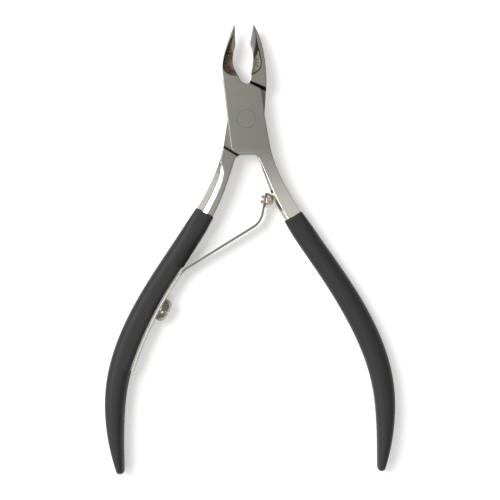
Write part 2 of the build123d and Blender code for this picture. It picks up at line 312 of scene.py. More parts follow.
def rounded_profile(corners, radii, steps=5):
    """A turned profile with its corners rounded off."""
    out = [corners[0]]
    for before, corner, after, radius in zip(corners, corners[1:], corners[2:], radii):
        if radius <= 0:
            out.append(corner)
            continue
        b, c, a = (np.array(v, float) for v in (before, corner, after))
        start = c + (b - c) / np.linalg.norm(b - c) * radius
        end = c + (a - c) / np.linalg.norm(a - c) * radius
        for i in range(steps + 1):
            t = i / steps
            out.append(tuple(start * (1 - t) ** 2 + c * 2 * t * (1 - t) + end * t**2))
    out.append(corners[-1])
    return out


def strip_tree():
    """A Geometry Nodes tree that sweeps a flat strip with rounded edges along a path."""
    if "strip_along_path" in bpy.data.node_groups:
        return bpy.data.node_groups["strip_along_path"]
    tree = bpy.data.node_groups.new("strip_along_path", "GeometryNodeTree")
    sockets = tree.interface
    sockets.new_socket("Path", in_out="INPUT", socket_type="NodeSocketGeometry")
    for name in ("Thickness", "Width", "Edge Radius"):
        sockets.new_socket(name, in_out="INPUT", socket_type="NodeSocketFloat")
    sockets.new_socket("Finish", in_out="INPUT", socket_type="NodeSocketMaterial")
    sockets.new_socket("Strip", in_out="OUTPUT", socket_type="NodeSocketGeometry")
    n, link = tree.nodes, tree.links.new
    given, result = n.new("NodeGroupInput"), n.new("NodeGroupOutput")
    path = n.new("GeometryNodeMeshToCurve")
    section = n.new("GeometryNodeCurvePrimitiveQuadrilateral")
    corners = n.new("GeometryNodeFilletCurve")
    corners.mode = "POLY"
    corners.inputs["Count"].default_value = 3
    sweep = n.new("GeometryNodeCurveToMesh")
    sweep.inputs["Fill Caps"].default_value = True
    realized = n.new("GeometryNodeRealizeInstances")
    finish = n.new("GeometryNodeSetMaterial")
    link(given.outputs["Path"], path.inputs["Mesh"])
    link(given.outputs["Thickness"], section.inputs["Width"])
    link(given.outputs["Width"], section.inputs["Height"])
    link(section.outputs["Curve"], corners.inputs["Curve"])
    link(given.outputs["Edge Radius"], corners.inputs["Radius"])
    link(path.outputs["Curve"], sweep.inputs["Curve"])
    link(corners.outputs["Curve"], sweep.inputs["Profile Curve"])
    link(sweep.outputs["Mesh"], realized.inputs["Geometry"])
    link(realized.outputs["Geometry"], finish.inputs["Geometry"])
    link(given.outputs["Finish"], finish.inputs["Material"])
    link(finish.outputs["Geometry"], result.inputs["Strip"])
    return tree


def strip_along(name, path, thickness, material, edge=0.04):
    """A flat strip on edge along a path in plan, as a plain closed mesh."""
    height = (SPRING_BOTTOM + SPRING_TOP) / 2
    points = [(p[0] * MM, p[1] * MM, height * MM) for p in path]
    line = bpy.data.meshes.new(name + "_path")
    line.from_pydata(points, [(i, i + 1) for i in range(len(path) - 1)], [])
    piece = bpy.data.objects.new(name, line)
    bpy.context.scene.collection.objects.link(piece)
    modifier = piece.modifiers.new("sweep", "NODES")
    modifier.node_group = strip_tree()
    values = {
        "Thickness": thickness * MM,
        "Width": (SPRING_TOP - SPRING_BOTTOM) * MM,
        "Edge Radius": edge * MM,
        "Finish": material,
    }
    for item in modifier.node_group.interface.items_tree:
        if item.item_type == "SOCKET" and item.in_out == "INPUT" and item.name in values:
            modifier[item.identifier] = values[item.name]
    depsgraph = bpy.context.evaluated_depsgraph_get()
    mesh = bpy.data.meshes.new_from_object(piece.evaluated_get(depsgraph))
    piece.modifiers.clear()
    piece.data = mesh
    bm = bmesh.new()
    bm.from_mesh(mesh)
    bmesh.ops.recalc_face_normals(bm, faces=bm.faces)
    bm.to_mesh(mesh)
    bm.free()
    mesh.shade_smooth()
    mesh.set_sharp_from_angle(angle=math.radians(20))
    return piece


def set_mask(piece, name, value_at):
    """Store a finish mask on a piece, worked out from each point's place in millimetres."""
    mesh = piece.data
    points = np.empty(len(mesh.vertices) * 3, np.float32)
    mesh.vertices.foreach_get("co", points)
    layer = mesh.attributes.new(name, "FLOAT", "POINT")
    layer.data.foreach_set("value", np.array(value_at(points.reshape(-1, 3) / MM), np.float32))


# ---------------------------------------------------------------- levers


def ramp(y, stations):
    """A value that changes along the lever, given as (y, value) from the joint down."""
    ys, values = zip(*sorted(stations))
    return np.interp(y, ys, values)


def front_height(y):
    """The front face along the lever: level at the joint, falling to the tips and to the coated core."""
    return ramp(y, [(23.7, 4.0), (11.0, 6.0), (-8.65, 6.0), (-23.2, 5.55), (-90.0, 5.55)])


def back_height(y):
    """The back face along the lever."""
    return ramp(y, [(23.7, 2.4), (11.0, 0.0), (-8.65, 0.0), (-23.2, 0.45), (-90.0, 0.45)])


BEVEL_LIP = 0.16
FACETS = ((1.0, 0.19), (0.6, -0.33), (0.5, 0.78))  # share of the ground width, and the slope each adds

# A line through each grip's top edge, drawn on the right
RIGHT_MOUTH = ((15.6, -21.95), (5.5, -27.65))
LEFT_MOUTH = ((15.6, -20.3), (5.5, -26.0))


def under_mouth(points, mouth):
    """How far points are below a grip's top edge."""
    a, b = (np.array(p) for p in mouth)
    along = (a - b) / np.linalg.norm(a - b)
    return (np.array(points) - b) @ np.array([along[1], -along[0]])


def bevel_width(y):
    """Width of the steep bevel along the inner edge of a tang's flat side."""
    return ramp(y, [(-8.9, 0.0), (-10.5, 0.22), (-12.5, 0.45), (-17.0, 0.7), (-24.0, 0.9)])


def facet_width(y):
    """Width of the ground outer side of a tang."""
    stations = [(-9.5, 0.0), (-10.8, 0.6), (-11.8, 1.3), (-13.3, 2.0), (-15.3, 2.4)]
    return ramp(y, stations + [(-17.6, 2.6), (-19.8, 2.75), (-23.3, 2.9)])


# The hollows' rims and the lands behind the cutting edges, from the tips down
LEFT_RIM = [
    (-3.0, 21.4), (-3.8, 19.6), (-4.45, 18.1), (-5.05, 16.5),
    (-5.45, 15.1), (-5.65, 13.7), (-5.55, 12.6),
]
LEFT_RIM += [(-5.2, 11.85), (-4.6, 11.3), (-3.8, 10.9), (-2.7, 10.7), (-1.6, 10.6)]
LEFT_LAND = [
    (-2.7, 23.5), (-2.95, 21.45), (-3.2, 20.0), (-3.45, 18.6),
    (-3.55, 17.4), (-3.4, 16.5), (-2.9, 16.0),
]
RIGHT_RIM = [(2.55, 21.9), (2.9, 20.0), (3.2, 18.3), (3.55, 16.9), (3.82, 15.7), (4.0, 14.5), (4.0, 13.5)]
RIGHT_RIM += [(3.85, 12.8), (3.35, 12.0), (2.6, 11.4), (1.9, 11.0), (1.0, 10.7)]
RIGHT_LAND = [(2.15, 23.4), (2.5, 21.4), (2.6, 20.0), (2.45, 18.3), (2.2, 16.9), (1.7, 15.7)]


def quarter(t):
    """A quarter circle's rise, from 0 to 1."""
    t = np.clip(t, 0, 1)
    return np.sqrt(1 - (1 - t) ** 2)


class Lever:
    """One lever as two height fields over its plan, with the lap joint's steps between them."""

    def __init__(self, node, hand, settings):
        self.hand = hand
        self.front_lever = hand > 0
        self.settings = settings
        outline = plan_outline(node, 3.2 if self.front_lever else 2.8)
        self.loop = even_loop(outline, lambda y: 0.12 if y > 8 else (0.2 if y > -27 else 1.0))
        ahead = np.roll(self.loop, -1, axis=0) - np.roll(self.loop, 1, axis=0)
        self.inward = np.column_stack([-ahead[:, 1], ahead[:, 0]]) / np.hypot(*ahead.T)[:, None]
        self.jaw_normal = np.array(polar(1, 180 - JAW_SHOULDER_ANGLE if hand > 0 else JAW_SHOULDER_ANGLE))
        self.tang_normal = np.array(polar(1, -TANG_SHOULDER_ANGLE if hand > 0 else 180 + TANG_SHOULDER_ANGLE))
        self.shoulders = (self.jaw_normal, self.tang_normal)
        rim, land = (LEFT_RIM, LEFT_LAND) if hand > 0 else (RIGHT_RIM, RIGHT_LAND)
        self.rim = smooth_curve(rim, 120)
        self.land = smooth_curve(land, 60)

    def facet_lines(self):
        """Lines in plan along the tang's bevel and facets."""
        faces_out = self.inward[:, 0] * self.hand > 0
        shown = (self.loop[:, 1] < -9.6) & (self.loop[:, 1] > -26)
        inner, outer = shown & faces_out, shown & ~faces_out
        for side, widths in (
            (inner, [self.reach(bevel_width), self.reach(lambda y: bevel_width(y) - BEVEL_LIP)]),
            (outer, [self.reach(lambda y, share=share: share * facet_width(y)) for share, _ in FACETS]),
        ):
            for width in widths:
                line = (self.loop + self.inward * width[:, None])[side & (width > 0.12)]
                line = line[np.argsort(line[:, 1])]
                yield line[nearest(line, self.loop, True) > 0.1]

    def reach(self, width_at):
        """How far in from each edge point the width that holds at the reached point goes."""
        width = width_at(self.loop[:, 1])
        for _ in range(8):
            width = width_at(self.loop[:, 1] + self.inward[:, 1] * width)
        return width

    def side_of_tang(self, points, inner):
        """Distance to the tang's inner or outer edge."""
        below = self.loop[:, 1] < -8.9
        faces_out = self.inward[:, 0] * self.hand > 0
        chosen = self.loop[below & (faces_out == inner)]
        return nearest(points, chosen[np.argsort(chosen[:, 1])])

    def plan(self):
        """Triangles of the plan, with the steps, the rivet hole and the hollow's edges among its lines."""
        points = [tuple(p) for p in self.loop]
        edges = [(i, (i + 1) % len(points)) for i in range(len(points))]

        def add_line(line, closed=False):
            start = len(points)
            points.extend(tuple(p) for p in line)
            edges.extend((start + i, start + i + 1) for i in range(len(line) - 1))
            if closed:
                edges.append((start + len(line) - 1, start))

        add_line([polar(RIVET_HEAD_RADIUS, 360 * i / 96) for i in range(96)], closed=True)
        for normal in self.shoulders:
            along = np.array([-normal[1], normal[0]])
            for depth in (0.0, 0.1, 0.2):
                add_line([normal * (SHOULDER_RADIUS + depth) + along * s for s in np.arange(-9, 9.01, 0.25)])
        for line in self.facet_lines():
            add_line(line)
        add_line(self.rim)
        add_line(self.land)
        loop = self.loop
        rings, rows = [], []
        for depth in (0.05, 0.11, 0.2, 0.32, 0.48, 0.7, 0.95, 1.25, 1.6, 2.0):
            ring = loop + self.inward * depth
            fine = loop[:, 1] > -27
            rings.append(ring[fine & inside(ring, loop) & (nearest(ring, loop, True) > depth * 0.93)])
        for y0, y1, step in ((9.0, 24.0, 0.13), (-26.0, 9.0, 0.34), (-90.0, -26.0, 1.3)):
            ys = np.arange(y0, y1, step * 0.866)
            for i, y in enumerate(ys):
                xs = np.arange(-37, 37, step) + (step / 2 if i % 2 else 0)
                rows.append(np.column_stack([xs, np.full(len(xs), y)]))
        grid = np.concatenate(rows)
        box = (grid >= loop.min(0)) & (grid <= loop.max(0))
        grid = grid[box.all(1)]
        grid = grid[inside(grid, loop)]
        grid = np.concatenate([np.concatenate(rings), grid[nearest(grid, loop, True) > 0.09]])
        on_tang = grid[:, 1] < -9.0
        clear = np.ones(len(grid), bool)
        for line in self.facet_lines():
            clear[on_tang] &= nearest(grid[on_tang], line) > 0.07
        points.extend(map(tuple, grid[clear]))
        found = delaunay_2d_cdt([Vector(p) for p in points], edges, [], 0, 1e-4)
        xy = np.array([tuple(v) for v in found[0]])
        triangles = np.array([f for f in found[2] if len(f) == 3])
        middle = xy[triangles].mean(1)
        keep = inside(middle, loop) & (np.hypot(*middle.T) > RIVET_HEAD_RADIUS - 0.01)
        ring = np.abs(np.hypot(*middle.T) - RIVET_HEAD_RADIUS) < 0.02
        keep &= ~(ring & (np.hypot(*middle.T) < RIVET_HEAD_RADIUS * math.cos(math.pi / 96)))
        return xy, triangles[keep], middle[keep]

    def heights(self, xy):
        """Front and back surface over each point, and its masks: the hollow (partly painted shade), polish,
        buffing, and painted shade.
        """
        y = xy[:, 1]
        edge = nearest(xy, self.loop, closed=True)
        inner = self.side_of_tang(xy, True)
        outer = self.side_of_tang(xy, False)
        front, back = front_height(y), back_height(y)
        chamfer = np.maximum(0, self.settings.edge_chamfer / MM - edge) * 0.9
        chamfer = np.where(y > 9.5, 0.3, 1.0) * chamfer  # the jaws' edges stay sharp

        # The tangs: one side is flat with a steep inner bevel, the other is ground to three facets
        cut = np.maximum(0, bevel_width(y) - inner)
        flat_side = 0.62 * np.minimum(cut, BEVEL_LIP) + 1.6 * np.maximum(0, cut - BEVEL_LIP)
        over = np.maximum(0, facet_width(y) - outer)
        round_side = FACETS[0][1] * over
        for share, slope in FACETS[1:]:
            round_side = round_side + slope * np.maximum(0, share * facet_width(y) - outer)
        tang = y < -9.0
        flat_drop = np.where(tang, np.maximum(flat_side, chamfer), chamfer)
        round_drop = np.where(tang, np.maximum(round_side, chamfer), chamfer)

        # The jaws: a scooped hollow in front, a rounded outer edge behind
        jaw = y > 10.0
        in_hollow = inside(xy, self.hollow_loop()) & jaw
        from_rim, from_land = nearest(xy, self.rim), nearest(xy, self.land)
        if self.front_lever:
            scoop = quarter(from_rim / 2.0) * quarter(0.05 + from_land / 0.3)
        else:
            wall = 0.8 * np.clip(from_rim / 0.22, 0, 1) + 0.2 * quarter(from_rim / 1.4)
            scoop = 0.55 * wall * np.clip(0.08 + from_land / 0.9, 0, 1)
        depth = np.where(in_hollow, self.settings.hollow_depth / MM * scoop, 0)
        in_land = inside(xy, self.land_loop()) & jaw & ~in_hollow
        slope = np.where(in_land, 0.03 * from_land - 0.7 * chamfer, 0)
        outer_edge = nearest_points(xy, self.jaw_outer_edge())
        back_round = np.where(jaw, 1.0 * (1 - quarter(outer_edge / 1.5)) * np.clip((y - 10) / 3, 0, 1), 0)

        mouth = RIGHT_MOUTH if self.front_lever else LEFT_MOUTH
        coated = np.clip(under_mouth(xy * (self.hand, 1), mouth) / 0.8, 0, 1) * (y < -15)
        inside_coat = 0.9 * np.maximum(0, 1.6 - edge) * coated
        flat_drop, round_drop = flat_drop + inside_coat, round_drop + inside_coat
        front_drop = flat_drop if self.front_lever else round_drop
        back_drop = round_drop if self.front_lever else flat_drop
        front = front - np.where(in_hollow, depth, front_drop + slope)
        back = back + np.maximum(back_drop, back_round)
        front = np.maximum(front, back + 0.05)
        # The hollows take the brown ground finish with coarse marks. Its strength, full on the left jaw and
        # weaker on the right, is partly painted shade, because the left hollow lies in shade.
        hollow = np.where(in_hollow, quarter(from_rim / 0.25), 0) * (1.0 if self.front_lever else 0.72)
        # Painted shade: on the right jaw a near-black line is painted along the hollow's rim wall, where
        # shade falls.
        shaded = 0.0 if self.front_lever else 0.8
        painted_wall_shade = np.where(in_hollow, shaded * np.clip((0.34 - from_rim) / 0.12, 0, 1), 0)
        polish = np.where(tang & (over > 0 if not self.front_lever else cut > 0), 1.0, 0.0)
        # Buffing: the tangs' steel gets lighter towards the grips. The same mask is a painted highlight on
        # the spring strips.
        buffed_and_painted_highlight = ramp(y, [(-7.0, 0.0), (-13.0, 0.35), (-20.0, 0.85), (-24.0, 1.0)])
        if not self.front_lever:
            buffed_and_painted_highlight = np.where(over > 0, np.minimum(1, 3 * buffed_and_painted_highlight), 0.22 * buffed_and_painted_highlight)
        return front, back, {"hollow": hollow, "polish": polish, "buffed_and_painted_highlight": buffed_and_painted_highlight, "painted_shade": painted_wall_shade}

    def hollow_loop(self):
        """The hollow's plan: its rim, and its open side past the inner edge of the jaw."""
        beyond = [self.rim[-1] + [2 * self.hand, 0], self.land[-1] + [2 * self.hand, 0]]
        return np.concatenate([self.rim, np.array(beyond), self.land[::-1][:-8]])

    def land_loop(self):
        """The land's plan: from its line to past the cutting edge."""
        past = [self.land[-1] + [2 * self.hand, -0.4], (self.land[0][0] + 2 * self.hand, 24.5)]
        return np.concatenate([self.land, np.array(past)])

    def jaw_outer_edge(self):
        return self.loop[(self.loop[:, 1] > 9) & (self.inward[:, 0] * self.hand > 0.2)]

    def build(self, name, material):
        xy, triangles, middle = self.plan()
        front, back, finish = self.heights(xy)
        past = [xy @ normal - SHOULDER_RADIUS for normal in self.shoulders]
        to_shoulder = np.minimum(*(np.abs(p) for p in past))
        broken = np.maximum(0, 0.1 - to_shoulder) * 0.9
        joint_painted_shade = np.clip((0.85 - to_shoulder) / 0.3, 0, 1)
        full = (middle @ self.jaw_normal > SHOULDER_RADIUS) | (middle @ self.tang_normal > SHOULDER_RADIUS)
        stepped_front = not self.front_lever
        vertices, keys, masks = [], {}, {key: [] for key in finish}

        def vertex(i, side, whole):
            stepped = (side == "front") == stepped_front
            key = (i, side, whole if stepped else True)
            if key not in keys:
                keys[key] = len(vertices)
                if stepped and not whole:
                    z = BACK_PLATE_TOP if stepped_front else FRONT_PLATE_UNDERSIDE
                elif side == "front":
                    z = front[i] - (broken[i] if stepped else 0)
                else:
                    z = back[i] + (broken[i] if stepped else 0)
                vertices.append((xy[i][0], xy[i][1], z))
                lowered = stepped and not whole
                for mask, values in finish.items():
                    masks[mask].append(values[i] if side == "front" and not lowered else 0.0)
                if lowered:
                    # Painted shade: the lowered faces of the lap joint are darkened towards the shoulder
                    # step, where the gap between the plates lies in shade.
                    masks["painted_shade"][-1] = joint_painted_shade[i]
            return keys[key]

        faces, owner = [], {}
        for triangle, whole in zip(triangles, full):
            a, b, c = (int(i) for i in triangle)
            faces.append([vertex(i, "front", bool(whole)) for i in (a, b, c)])
            faces.append([vertex(i, "back", bool(whole)) for i in (c, b, a)])
            for i, j in ((a, b), (b, c), (c, a)):
                owner[(i, j)] = bool(whole)
        step_side = "front" if stepped_front else "back"
        both = {}
        for (i, j), whole in owner.items():
            both.setdefault(i, set()).add(whole)
            both.setdefault(j, set()).add(whole)
        for (i, j), whole in owner.items():
            if (j, i) not in owner:
                wall = [vertex(i, "back", whole), vertex(j, "back", whole)]
                if whole and len(both[j]) == 2:
                    wall.append(vertex(j, step_side, False))
                wall += [vertex(j, "front", whole), vertex(i, "front", whole)]
                if whole and len(both[i]) == 2:
                    wall.append(vertex(i, step_side, False))
                faces.append(list(dict.fromkeys(wall)))
            elif whole and not owner[(j, i)]:
                corners = ((i, True), (j, True), (j, False), (i, False))
                faces.append([vertex(k, step_side, w) for k, w in corners])
        return make_object(name, vertices, faces, material, 11.0, masks)


def nearest_points(points, chosen):
    """The distance from each point to the nearest of the chosen ones."""
    out = np.full(len(points), 99.0)
    if len(chosen):
        for i in range(0, len(points), 2000):
            d = points[i : i + 2000, None, :] - chosen[None]
            out[i : i + 2000] = np.sqrt((d * d).sum(2)).min(1)
    return out


# ---------------------------------------------------------------- materials


def node_tree(name):
    """A new material and its Principled shader."""
    material = bpy.data.materials.new(name)
    material.use_nodes = True
    return material, material.node_tree, material.node_tree.nodes["Principled BSDF"]


def new_group(name, inputs, outputs):
    """A shader node group with named sockets. inputs are (name, kind, default)."""
    tree = bpy.data.node_groups.new(name, "ShaderNodeTree")
    for label, kind, default in inputs:
        socket = tree.interface.new_socket(label, in_out="INPUT", socket_type=kind)
        socket.default_value = default
    for label, kind in outputs:
        tree.interface.new_socket(label, in_out="OUTPUT", socket_type=kind)
    return tree


def steel_group():
    """Ground steel: a varying tint, a grain that runs across the tool, coarse marks in the hollows with their
    darker brown (partly painted shade), a lighter buffed colour that is a painted highlight on the spring
    strips, and painted shade in recesses.
    """
    if "ground_steel" in bpy.data.node_groups:
        return bpy.data.node_groups["ground_steel"]
    kind_f, kind_c = "NodeSocketFloat", "NodeSocketColor"
    tree = new_group(
        "ground_steel",
        [
            ("Face Colour", kind_c, (0.5, 0.5, 0.5, 1)),
            ("Shade Colour", kind_c, (0.4, 0.4, 0.4, 1)),
            ("Buffed Colour", kind_c, (0.5, 0.5, 0.5, 1)),
            ("Hollow Colour", kind_c, (0.1, 0.1, 0.1, 1)),
            ("Face Roughness", kind_f, 0.3),
            ("Polished Roughness", kind_f, 0.15),
            ("Hollow Roughness", kind_f, 0.5),
            ("Grain Scale", kind_f, 600.0),
        ],
        [("Colour", kind_c), ("Roughness", kind_f), ("Height", kind_f)],
    )
    n, link = tree.nodes, tree.links.new
    gin, gout = n.new("NodeGroupInput"), n.new("NodeGroupOutput")
    place = n.new("ShaderNodeTexCoord")
    stretch = n.new("ShaderNodeMapping")
    stretch.inputs["Scale"].default_value = (0.12, 1.0, 1.0)
    link(place.outputs["Object"], stretch.inputs["Vector"])
    grain = n.new("ShaderNodeTexNoise")
    grain.inputs["Detail"].default_value = 4.0
    link(stretch.outputs["Vector"], grain.inputs["Vector"])
    link(gin.outputs["Grain Scale"], grain.inputs["Scale"])
    cloud = n.new("ShaderNodeTexNoise")
    cloud.inputs["Scale"].default_value = 140.0
    cloud.inputs["Detail"].default_value = 3.0
    link(place.outputs["Object"], cloud.inputs["Vector"])
    mix = n.new("ShaderNodeMix")
    mix.data_type = "RGBA"
    both = n.new("ShaderNodeMath")
    both.operation = "MULTIPLY_ADD"
    both.inputs[1].default_value = 0.55
    link(grain.outputs["Fac"], both.inputs[0])
    half = n.new("ShaderNodeMath")
    half.operation = "MULTIPLY"
    half.inputs[1].default_value = 0.45
    link(cloud.outputs["Fac"], half.inputs[0])
    link(half.outputs[0], both.inputs[2])
    link(both.outputs[0], mix.inputs["Factor"])
    link(gin.outputs["Face Colour"], mix.inputs["A"])
    link(gin.outputs["Shade Colour"], mix.inputs["B"])
    mask = n.new("ShaderNodeAttribute")
    mask.attribute_name = "hollow"
    polish = n.new("ShaderNodeAttribute")
    polish.attribute_name = "polish"
    marks_map = n.new("ShaderNodeMapping")
    marks_map.inputs["Scale"].default_value = (0.25, 1.0, 0.25)
    link(place.outputs["Object"], marks_map.inputs["Vector"])
    marks = n.new("ShaderNodeTexNoise")
    marks.inputs["Scale"].default_value = 2600.0
    marks.inputs["Detail"].default_value = 2.0
    link(marks_map.outputs["Vector"], marks.inputs["Vector"])
    marked = n.new("ShaderNodeMix")
    marked.data_type = "RGBA"
    marked.blend_type = "MULTIPLY"
    link(gin.outputs["Hollow Colour"], marked.inputs["A"])
    contrast = n.new("ShaderNodeValToRGB")
    contrast.color_ramp.elements[0].position = 0.32
    contrast.color_ramp.elements[0].color = (0.45, 0.42, 0.38, 1)
    contrast.color_ramp.elements[1].position = 0.68
    contrast.color_ramp.elements[1].color = (1.5, 1.42, 1.3, 1)
    link(marks.outputs["Fac"], contrast.inputs["Fac"])
    marked.inputs["Factor"].default_value = 1.0
    link(contrast.outputs["Color"], marked.inputs["B"])
    buffed_and_painted_highlight = n.new("ShaderNodeAttribute")
    buffed_and_painted_highlight.attribute_name = "buffed_and_painted_highlight"
    lighter = n.new("ShaderNodeMix")
    lighter.data_type = "RGBA"
    link(buffed_and_painted_highlight.outputs["Fac"], lighter.inputs["Factor"])
    link(mix.outputs["Result"], lighter.inputs["A"])
    link(gin.outputs["Buffed Colour"], lighter.inputs["B"])
    ground = n.new("ShaderNodeMix")
    ground.data_type = "RGBA"
    link(mask.outputs["Fac"], ground.inputs["Factor"])
    link(lighter.outputs["Result"], ground.inputs["A"])
    link(marked.outputs["Result"], ground.inputs["B"])
    # Painted shade: where the painted-shade mask is set, the colour is mixed towards near black.
    painted_shade = n.new("ShaderNodeAttribute")
    painted_shade.attribute_name = "painted_shade"
    shade_painted = n.new("ShaderNodeMix")
    shade_painted.data_type = "RGBA"
    link(painted_shade.outputs["Fac"], shade_painted.inputs["Factor"])
    link(ground.outputs["Result"], shade_painted.inputs["A"])
    shade_painted.inputs["B"].default_value = (0.012, 0.011, 0.01, 1)
    rough = n.new("ShaderNodeMix")
    link(polish.outputs["Fac"], rough.inputs["Factor"])
    link(gin.outputs["Face Roughness"], rough.inputs["A"])
    link(gin.outputs["Polished Roughness"], rough.inputs["B"])
    rough2 = n.new("ShaderNodeMix")
    link(mask.outputs["Fac"], rough2.inputs["Factor"])
    link(rough.outputs["Result"], rough2.inputs["A"])
    link(gin.outputs["Hollow Roughness"], rough2.inputs["B"])
    tall = n.new("ShaderNodeMix")
    link(mask.outputs["Fac"], tall.inputs["Factor"])
    weak = n.new("ShaderNodeMath")
    weak.operation = "MULTIPLY"
    weak.inputs[1].default_value = 0.12
    link(grain.outputs["Fac"], weak.inputs[0])
    link(weak.outputs[0], tall.inputs["A"])
    link(marks.outputs["Fac"], tall.inputs["B"])
    link(shade_painted.outputs["Result"], gout.inputs["Colour"])
    link(rough2.outputs["Result"], gout.inputs["Roughness"])
    link(tall.outputs["Result"], gout.inputs["Height"])
    return tree


def steel_material(name, face, shade, roughness, grain=700.0, buffed_and_painted_highlight=GREY, hollow=HOLLOW_BROWN_AND_SHADE):
    """A steel finish made with the shared ground-steel group."""
    if name in bpy.data.materials:
        return bpy.data.materials[name]
    material, tree, shader = node_tree(name)
    group = tree.nodes.new("ShaderNodeGroup")
    group.node_tree = steel_group()
    group.inputs["Face Colour"].default_value = (*face, 1)
    group.inputs["Shade Colour"].default_value = (*shade, 1)
    group.inputs["Buffed Colour"].default_value = (*buffed_and_painted_highlight, 1)
    group.inputs["Hollow Colour"].default_value = (*hollow, 1)
    group.inputs["Face Roughness"].default_value = roughness
    group.inputs["Polished Roughness"].default_value = 0.18
    group.inputs["Hollow Roughness"].default_value = 0.42
    group.inputs["Grain Scale"].default_value = grain
    bump = tree.nodes.new("ShaderNodeBump")
    bump.inputs["Distance"].default_value = 0.00003
    bump.inputs["Strength"].default_value = 0.6
    tree.links.new(group.outputs["Height"], bump.inputs["Height"])
    tree.links.new(bump.outputs["Normal"], shader.inputs["Normal"])
    tree.links.new(group.outputs["Colour"], shader.inputs["Base Color"])
    tree.links.new(group.outputs["Roughness"], shader.inputs["Roughness"])
    shader.inputs["Metallic"].default_value = 1.0
    return material


def coat_material(settings):
    """Soft dipped coat: nearly black, with a fine pebble and faint lighter scuffs."""
    material, tree, shader = node_tree("soft_black_coat")
    n, link = tree.nodes, tree.links.new
    place = n.new("ShaderNodeTexCoord")
    pebble = n.new("ShaderNodeTexNoise")
    shader.inputs["Specular IOR Level"].default_value = 0.35
    pebble.inputs["Scale"].default_value = 2500.0
    pebble.inputs["Detail"].default_value = 3.0
    cloud = n.new("ShaderNodeTexNoise")
    cloud.inputs["Scale"].default_value = 60.0
    cloud.inputs["Detail"].default_value = 4.0
    for texture in (pebble, cloud):
        link(place.outputs["Object"], texture.inputs["Vector"])
    shade = n.new("ShaderNodeMix")
    shade.data_type = "RGBA"
    base = settings.coat_colour
    shade.inputs["A"].default_value = (*[0.9 * c for c in base], 1)
    shade.inputs["B"].default_value = (*[1.15 * c for c in base], 1)
    link(cloud.outputs["Fac"], shade.inputs["Factor"])
    link(shade.outputs["Result"], shader.inputs["Base Color"])
    rough = n.new("ShaderNodeMapRange")
    rough.inputs["To Min"].default_value = settings.coat_roughness - 0.05
    rough.inputs["To Max"].default_value = settings.coat_roughness + 0.05
    link(cloud.outputs["Fac"], rough.inputs["Value"])
    link(rough.outputs["Result"], shader.inputs["Roughness"])
    bump = n.new("ShaderNodeBump")
    bump.inputs["Distance"].default_value = 0.00002
    bump.inputs["Strength"].default_value = 0.35
    link(pebble.outputs["Fac"], bump.inputs["Height"])
    link(bump.outputs["Normal"], shader.inputs["Normal"])
    return material


# ---------------------------------------------------------------- settings


class NipperSteelSettings(PropertyGroup):
    """Sizes and colours of the two steel levers and the rivet."""

    edge_chamfer: FloatProperty(
        name="Edge chamfer", description="Width of the broken edges", default=0.00013, unit="LENGTH"
    )
    buffed_colour: FloatVectorProperty(
        name="Buffed colour", description="Steel of the tangs, towards the grips", default=(0.68, 0.66, 0.61),
        subtype="COLOR",
    )
    hollow_depth: FloatProperty(
        name="Hollow depth", description="Depth of the jaws' hollows", default=0.0013, unit="LENGTH"
    )
    face_colour: FloatVectorProperty(
        name="Face colour", description="Ground steel", default=(0.285, 0.272, 0.247), subtype="COLOR"
    )
    face_roughness: FloatProperty(
        name="Face roughness", description="Roughness of the ground faces", default=0.34, subtype="FACTOR"
    )


class NipperGripSettings(PropertyGroup):
    """Shape and colour of the coated handles."""

    squareness: FloatProperty(
        name="Squareness", description="2 is an ellipse, more is squarer in section", default=2.7
    )
    coat_colour: FloatVectorProperty(
        name="Coat colour", description="Soft dipped coat", default=(0.016, 0.0155, 0.0155), subtype="COLOR"
    )
    coat_roughness: FloatProperty(
        name="Coat roughness", description="Roughness of the coat", default=0.55, subtype="FACTOR"
    )


class NipperSpringSettings(PropertyGroup):
    """Sizes of the leaf spring, its screw and its glide button."""

    leaf_thickness: FloatProperty(
        name="Leaf thickness", description="Thickness of the leaf", default=0.00055, unit="LENGTH"
    )
    head_radius: FloatProperty(
        name="Screw head radius", description="Radius of the screw's head", default=0.0029, unit="LENGTH"
    )
    button_radius: FloatProperty(
        name="Button radius", description="Radius of the glide button's dome", default=0.00185, unit="LENGTH"
    )


class NipperStageSettings(PropertyGroup):
    """Camera distance and floor."""

    view_width: FloatProperty(
        name="View width", description="Width that the camera sees at the floor", default=0.125, unit="LENGTH"
    )
    floor_size: FloatProperty(name="Floor size", description="Side of the floor", default=3.0, unit="LENGTH")


# ---------------------------------------------------------------- operators


